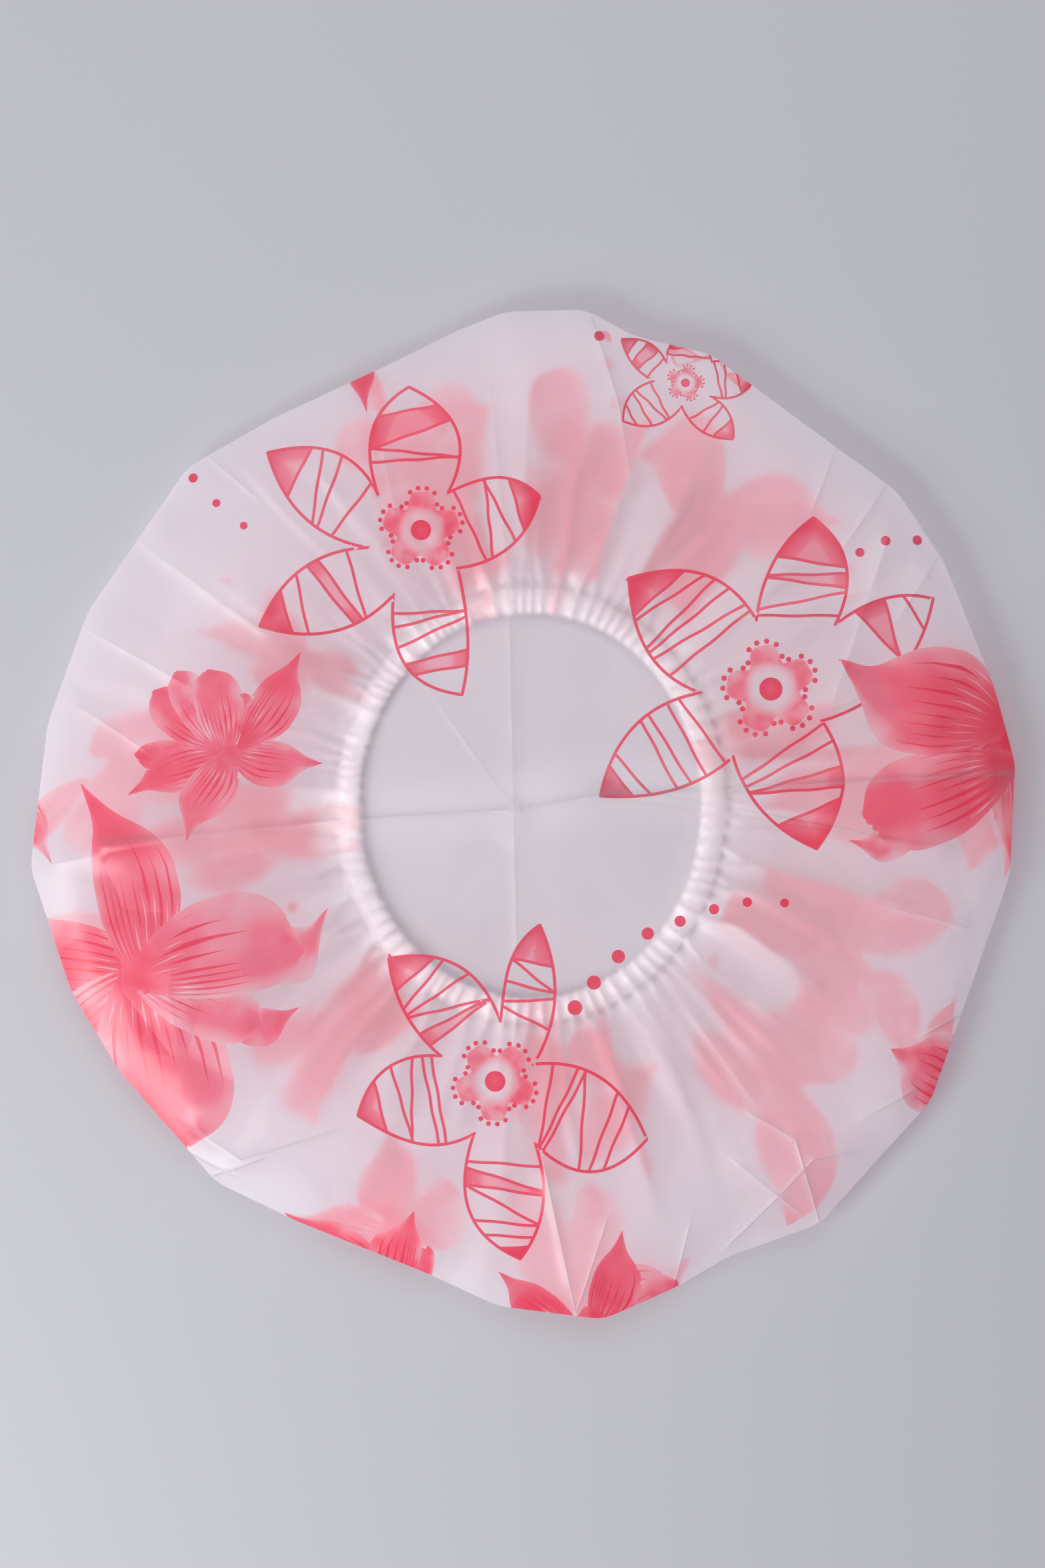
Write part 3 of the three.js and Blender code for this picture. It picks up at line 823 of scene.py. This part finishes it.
def outlined_ink(side_place, side_form, bar_place, next_bar, middle_place):
    """Ink of the outlined flowers: the lines of their petals and bars with the shaded parts between, and
    inside them a small shaded flower in a line of beads round a solid eye."""
    on_side, out, length = side_place.parts()
    line = (length * line_share + line_base).at_most(widest_line)
    bulge, lean, on_flower = side_form.parts()
    skew = lean * (on_side - 0.5) + 1
    hump = on_side * (1 - on_side) * 4
    slope = bulge * ((1 - on_side * 2) * 4 * skew + hump * lean)
    depth = (bulge * hump * skew - out) * length / (slope * slope + 1).math("SQRT")
    edge = abs(depth).below(line) * on_side.above(-0.01) * on_side.below(1.01)
    gap, inner_dark, outer_dark = bar_place.parts()
    next_gap, along, across = next_bar.parts()
    waver = (across * 23 + along * 5).math("SINE") * bar_waver
    gap = gap + waver
    inside = depth.above(0) * along.above(bars_start)
    bars = abs(gap).below(line * bar_line).either(abs(next_gap + waver).below(line * bar_line))
    beyond = gap.above(0)
    dark = outer_dark * beyond + inner_dark * (1 - beyond)
    fade = (depth / (length * 0.16)).at_most(1)
    shaded = dark * (0.92 - fade * 0.5 + along.ramp(0.85, 1.0) * 0.3)
    petals = (edge * 0.85).either(inside * bars * 0.8).either(inside * shaded)
    radius, straight, aside = petal_places(middle_place)
    off_line = aside.math("ARCTAN2", straight) * (petal_count / TURN)
    outline = (off_line * TURN).math("COSINE") * lobe_wave
    outline = outline - (off_line * TURN * 2).math("COSINE") * notch_wave + lobe_reach
    cloud = middle_place.noise(2.2, 1.0)
    small_flower = (outline - radius).ramp(0.02, 0.07) * radius.ramp(0.3, 0.66) * (cloud * 0.8 + 0.04)
    bead = (((off_line + 0.5) * beads).math("FLOOR") + 0.5) / beads - 0.5
    bead_side = (off_line - bead) * (TURN / petal_count) * radius
    bead_turn = bead * TURN
    bead_out = radius - bead_turn.math("COSINE") * lobe_wave
    bead_out = bead_out + (bead_turn * 2).math("COSINE") * notch_wave - bead_reach
    in_bead = (bead_side * bead_side + bead_out * bead_out).below(bead_radius**2)
    eye = radius.below(eye_radius) * (0.75 + radius)
    return petals.either(small_flower).either(in_bead * 0.95).either(eye) * on_flower


# Streaks across a petal's half, how wide the dark and the pale ones are in their stripes, and where they
# stop beside the petal's edge
stripes_across, dark_width, pale_width, streaks_end = 4.6, 0.23, 0.2, 0.86
rounding_guard = 0.1


def petal_ink(place, form):
    """Ink of one blossom petal, shaded from its base, with tapering dark and pale streaks, and 1 where
    the petal is."""
    along, across, code = place.parts()
    left, right, bow = form.parts()
    number = (code + rounding_guard).math("FLOOR")
    kind = (code + rounding_guard).math("FRACT")
    blunt = kind.above(0.5)
    streaked = 1 - kind.above(0.25) * (1 - blunt)
    tailed_half, blunt_half, bowed = along.stops(petal_outlines, "B_SPLINE").parts()
    aside = across - bow * bowed
    on_left = aside.above(0)
    widest = left * on_left + right * (1 - on_left)
    half = (tailed_half * (1 - blunt) + blunt_half * blunt) * widest
    inside = (half - abs(aside)).above(0.0) * along.above(0) * along.below(1) * code.above(0.5)
    share = aside / half.either(0.001)
    _, streak_fate, depth_fate = chances(number + 300)
    stripes = share * stripes_across + streak_fate
    stripe = stripes.math("FLOOR")
    in_stripe = abs(stripes - stripe - 0.5)
    start_fate, end_fate, pale_fate = chances(number * 19 + stripe + 55)
    start = 0.16 + start_fate * 0.16
    end = 0.52 + end_fate * 0.22
    taper = ((along - start) * 5).at_most((end - along) * 2.6).at_most(1)
    dark = in_stripe.below(taper * dark_width) * abs(share).below(streaks_end)
    pale_start = 0.1 + end_fate * 0.14
    pale_end = pale_start + 0.12 + start_fate * 0.12
    pale_taper = ((along - pale_start) * 8).at_most((pale_end - along) * 7).at_most(1)
    pale = (0.5 - in_stripe).below(pale_taper * pale_width) * pale_fate.above(0.3)
    cloud = place.noise(3.5, 1.0)
    base = along.ramp(0.42, 0.05)
    edge = (abs(share) - 0.4).either(0)
    shade = 0.26 + (depth_fate - 0.5) * 0.2 + base * 0.2 - edge * 0.32
    shade = shade + cloud * 0.5 + along.ramp(0.8, 1.0) * 0.1
    streaks = (dark * 0.44 - pale * 0.32) * streaked
    return (shade + streaks).either(0.03) * inside, inside


def blossom_ink(top_place, top_form, low_place, low_form):
    """Ink of the filled blossoms, where a petal hides the one that it lies on."""
    top, on_top = petal_ink(top_place, top_form)
    low, _ = petal_ink(low_place, low_form)
    return top + low * (1 - on_top) * 0.92


# The film's finish: a milky veil that lets most light through and blurs what lies behind it, under ink
# that covers more where it is strong. Gathered film lies in many layers, so its veil covers more there.
veil_colour = (0.79, 0.71, 0.75, 1)
rim_colour = (0.92, 0.865, 0.925, 1)
under_colour = (0.94, 0.86, 0.89, 1)
hem_colour = (0.97, 0.97, 0.97, 1)
pale_ink = (1.0, 0.175, 0.27, 1)
strong_ink = (0.86, 0.03, 0.09, 1)
# Partly the film's own stress-whitening along a crease and partly a painted highlight
crease_white_and_highlight = (0.97, 0.95, 0.97, 1)
# Painted shade: the colour of the dark line beside the higher creases
crease_shadow = (0.36, 0.28, 0.32, 1)
glow_through_ink = (0.86, 0.22, 0.30, 1)
light_through = (0.64, 0.55, 0.60, 1)
veil_cover = 0.44
glow_share = 0.28
film_bend = 1.3
rim_fold = 141 * MM
most_layers = 3.8
film_finish, start = new_material("printed_film")


def corner_place(name):
    """What the film's corners carry by this name."""
    return start.node("ShaderNodeAttribute", {"attribute_name": name}, {}, "Vector")


blossom = blossom_ink(*map(corner_place, blossom_names))
outline = outlined_ink(*map(corner_place, outlined_names)) * (1 - blossom.above(0.02))
dots = corner_place("dot_place").reach().below(1) * 0.95
flat_place = start.node("ShaderNodeUVMap", {"uv_map": "OFBake"}, {}, "UV")
flat_place = flat_place.vector("SUBTRACT", (0.5, 0.5, 0))
flat_reach = flat_place.reach() * (2 * cut_radius)
gathered = (flat_reach / (2 * rim_fold - flat_reach)).either(1).at_most(most_layers)
on_hem = flat_reach.ramp(seam_radius - 7 * MM, seam_radius - 2 * MM)
turned_under = flat_reach.ramp(under_starts, under_full)
ink = blossom.either(outline).either(dots).at_most(1) * (1 - on_hem * 0.75)
object_place = start.node("ShaderNodeTexCoord", {}, {}, "Object")
cloud = object_place.noise(16.0, 3.0)
crease, crease_strength, crease_shade_strength = corner_place("crease_place").parts()
# Painted shade: a dark line just beside each crease listed higher than 1 mm stands in for the shade on its
# shaded side
painted_crease_shade = (abs(crease - 1.2) * -0.8).math("EXPONENT") * crease_shade_strength
pale_line = (abs(crease) * -1).math("EXPONENT") * crease_strength
layers = 1 + (gathered - 1) * (0.7 + on_hem * 0.3) + on_hem * 1.5
layers = layers * (0.2 + cloud * 1.6) + pale_line * 3.0
over_ring = object_place.vector("SUBTRACT", (*ring_middle, 0)).vector("MULTIPLY", (*(1 / ring_half), 0))
from_ring = abs(over_ring.reach() - 1)
touching = from_ring.ramp(0.17, 0.08) * (1 - turned_under)
near_rim = from_ring.ramp(0.6, 1.2)
see_through = (1 - veil_cover) ** (layers * (1 - touching * 0.6))
cover = 1 - (1 - ink**0.4 * (0.96 - turned_under * 0.22)) * see_through
ink_colour = ink.ramp(0.25, 0.95).colour(pale_ink, strong_ink)
inked = (ink * 2.2).at_most(1) * (1 - turned_under * 0.18)
crown_colour = near_rim.colour(veil_colour, rim_colour)
bare_colour = on_hem.colour(turned_under.colour(crown_colour, under_colour), hem_colour)
# Along each crease the colour turns paler: partly the film's stress-whitening, partly a painted highlight
whitened_and_highlit = (pale_line * 0.9 * (1 - inked)).at_most(1)
bare_colour = whitened_and_highlit.colour(bare_colour, crease_white_and_highlight)
surface_colour = painted_crease_shade.colour(inked.colour(bare_colour, ink_colour), crease_shadow)
crinkle = start.node(
    "ShaderNodeTexNoise", {"noise_type": "RIDGED_MULTIFRACTAL"},
    {"Vector": object_place, "Scale": 55.0, "Detail": 3.0, "Roughness": 0.5}, "Fac"
)
facets = start.node(
    "ShaderNodeTexVoronoi", {"feature": "DISTANCE_TO_EDGE"},
    {"Vector": object_place, "Scale": 38.0}, "Distance"
)
bumps = crinkle * 0.8 + facets * 1.9 + pale_line * 1.6
bumps = {"Height": bumps, "Strength": 0.7, "Distance": 1.2 * MM}
surface = start.bsdf("Principled", {
    "Base Color": surface_colour,
    "Roughness": 0.34,
    "IOR": 1.5,
    "Coat Weight": 0.6,
    "Coat Roughness": 0.18,
    "Normal": start.node("ShaderNodeBump", {}, bumps, "Normal"),
})
milk_glow = start.bsdf("Translucent", {"Color": veil_colour})
ink_glow = start.bsdf("Translucent", {"Color": glow_through_ink})
glow = inked.shader(milk_glow, ink_glow)
body = start.node("ShaderNodeMixShader", {}, {0: glow_share, 1: surface, 2: glow}, "Shader")
softness = 0.46 + from_ring.ramp(0.06, 0.32) * 0.24
bent = {"Color": (1, 1, 1, 1), "Roughness": softness}
from_outside, from_inside = (
    start.bsdf("Refraction", {**bent, "IOR": bend}) for bend in (film_bend, 1 / film_bend)
)
inner_side = start.node("ShaderNodeNewGeometry", {}, {}, "Backfacing")
blurred = inner_side.shader(from_outside, from_inside)
finished = cover.shader(blurred, body)
lit_through = start.bsdf("Transparent", {"Color": light_through})
lamp_ray = start.node("ShaderNodeLightPath", {}, {}, "Is Shadow Ray")
start.finish(lamp_ray.shader(finished, lit_through))
film.data.materials.append(film_finish)
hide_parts("crown_film", "skirt_film", "hem_casing")
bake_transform(film)

# The elastic: a flat strip of white braided elastic, its lapped ends sewn together into a ring. It lies
# inside the hem and draws the film together round the opening.
elastic_points = 360
elastic_steps = 6
step_growth = 1.1
elastic_waves = 37
wave_height = 0.15 * MM
elastic_thickness = 0.8 * MM


def cloth_material(name, grain, shadow, colour, roughness):
    """Matt white cloth with a fine grain in two tones."""
    finish, start = new_material(name)
    shade = start.node("ShaderNodeTexCoord", {}, {}, "Object").noise(grain, 2.0).colour(shadow, colour)
    start.finish(start.bsdf("Principled", {"Base Color": shade, "Roughness": roughness}))
    return finish


bpy.ops.object.select_all(action="DESELECT")
bpy.ops.mesh.primitive_circle_add(vertices=elastic_points, radius=1, fill_type="NOTHING")
elastic = bpy.context.object
elastic.name = elastic.data.name = "elastic_strip"
bpy.ops.object.mode_set(mode="EDIT")
bpy.ops.mesh.select_all(action="SELECT")
for _ in range(elastic_steps):
    bpy.ops.mesh.extrude_edges_move()
    bpy.ops.transform.resize(value=(step_growth, step_growth, 1))
bpy.ops.object.mode_set(mode="OBJECT")
ring = places_of(elastic.data)
ring_angle = np.arctan2(ring[:, 1], ring[:, 0])
step_out = np.rint(np.log(np.hypot(ring[:, 0], ring[:, 1])) / math.log(step_growth))
side = -elastic_edge + 2 * elastic_edge * step_out / elastic_steps
x, y = beside_ring(ring_angle, side)
lift = wave_height * np.cos(elastic_waves * ring_angle + 2 * wander(ring_angle, 2, 9, 31))
elastic_low, elastic_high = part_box("elastic_band")
placed = np.stack([x, y, (elastic_low[2] + elastic_high[2]) / 2 + lift], axis=1)
elastic.data.vertices.foreach_set("co", placed.astype(np.float32).ravel())
elastic.data.update()
thick = elastic.modifiers.new("thickness", "SOLIDIFY")
thick.thickness = elastic_thickness
thick.offset = 0
bpy.ops.object.modifier_apply(modifier=thick.name)
bpy.ops.object.shade_smooth()
elastic_shadow, elastic_colour = (0.80, 0.79, 0.79, 1), (0.92, 0.91, 0.91, 1)
elastic.data.materials.append(cloth_material("white_elastic", 900.0, elastic_shadow, elastic_colour, 0.9))
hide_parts("elastic_band")
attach(elastic, "hem")

# The thread: white polyester sewing thread. A bar tack holds the elastic's lapped ends together, and a
# needle thread and a bobbin thread close the hem. All three stay as they are made.
thread_shadow, thread_colour = (0.82, 0.81, 0.81, 1), (0.95, 0.94, 0.94, 1)
thread_finish = cloth_material("white_thread", 2500.0, thread_shadow, thread_colour, 0.7)
for name in ("elastic_join_stitch", "seam_needle_thread", "seam_bobbin_thread"):
    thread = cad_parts[name]
    thread.data.materials.clear()
    thread.data.materials.append(thread_finish)

# The table that the cap lies on: a plain grey surface, just under the hem
table_gap = 0.05 * MM
table_colour = (0.54, 0.54, 0.58, 1)
bpy.ops.object.select_all(action="DESELECT")
bpy.ops.mesh.primitive_plane_add(size=6, location=(0, 0, -table_gap))
table = bpy.context.object
table.name = "table_top"
table_finish, start = new_material("grey_table")
start.finish(start.bsdf("Principled", {"Base Color": table_colour, "Roughness": 0.6}))
table.data.materials.append(table_finish)

# Soft light, strongest from the lower left of the view, and a plain pale surrounding
scene = bpy.context.scene
world = bpy.data.worlds.new("studio")
scene.world = world
world.use_nodes = True
background = world.node_tree.nodes["Background"]
background.inputs["Color"].default_value = (0.95, 0.96, 1.0, 1)
background.inputs["Strength"].default_value = 0.36
for name, place_at, size, power in (
    ("key", (-0.66, -0.50, 0.62), 0.55, 7.3),
    ("fill", (0.08, 0.74, 0.95), 1.0, 4.7),
):
    bpy.ops.object.light_add(type="AREA", location=place_at)
    lamp = bpy.context.object
    lamp.name = name
    lamp.data.size = size
    lamp.data.energy = power
    toward = -lamp.location
    lamp.rotation_euler = toward.to_track_quat("-Z", "Y").to_euler()

# The camera looks straight down. The photograph's frame is frame_px wide and high, with the middle of the
# cap at cap_middle_px, and a pixel of it is 0.19 mm.
pixel = 0.19 * MM
cap_middle_px = (785, 1221)
frame_px = (1568, 2352)
camera_height = 1.0
sensor_mm = 36
camera_x = (frame_px[0] / 2 - cap_middle_px[0]) * pixel
camera_y = (cap_middle_px[1] - frame_px[1] / 2) * pixel
bpy.ops.object.camera_add(location=(camera_x, camera_y, camera_height))
camera = bpy.context.object
camera.rotation_euler = (0, 0, 0)
camera.data.sensor_fit = "VERTICAL"
camera.data.sensor_height = sensor_mm
camera.data.lens = sensor_mm * (camera_height - rim_height) / (frame_px[1] * pixel)
scene.camera = camera
scene.view_settings.view_transform = "Standard"
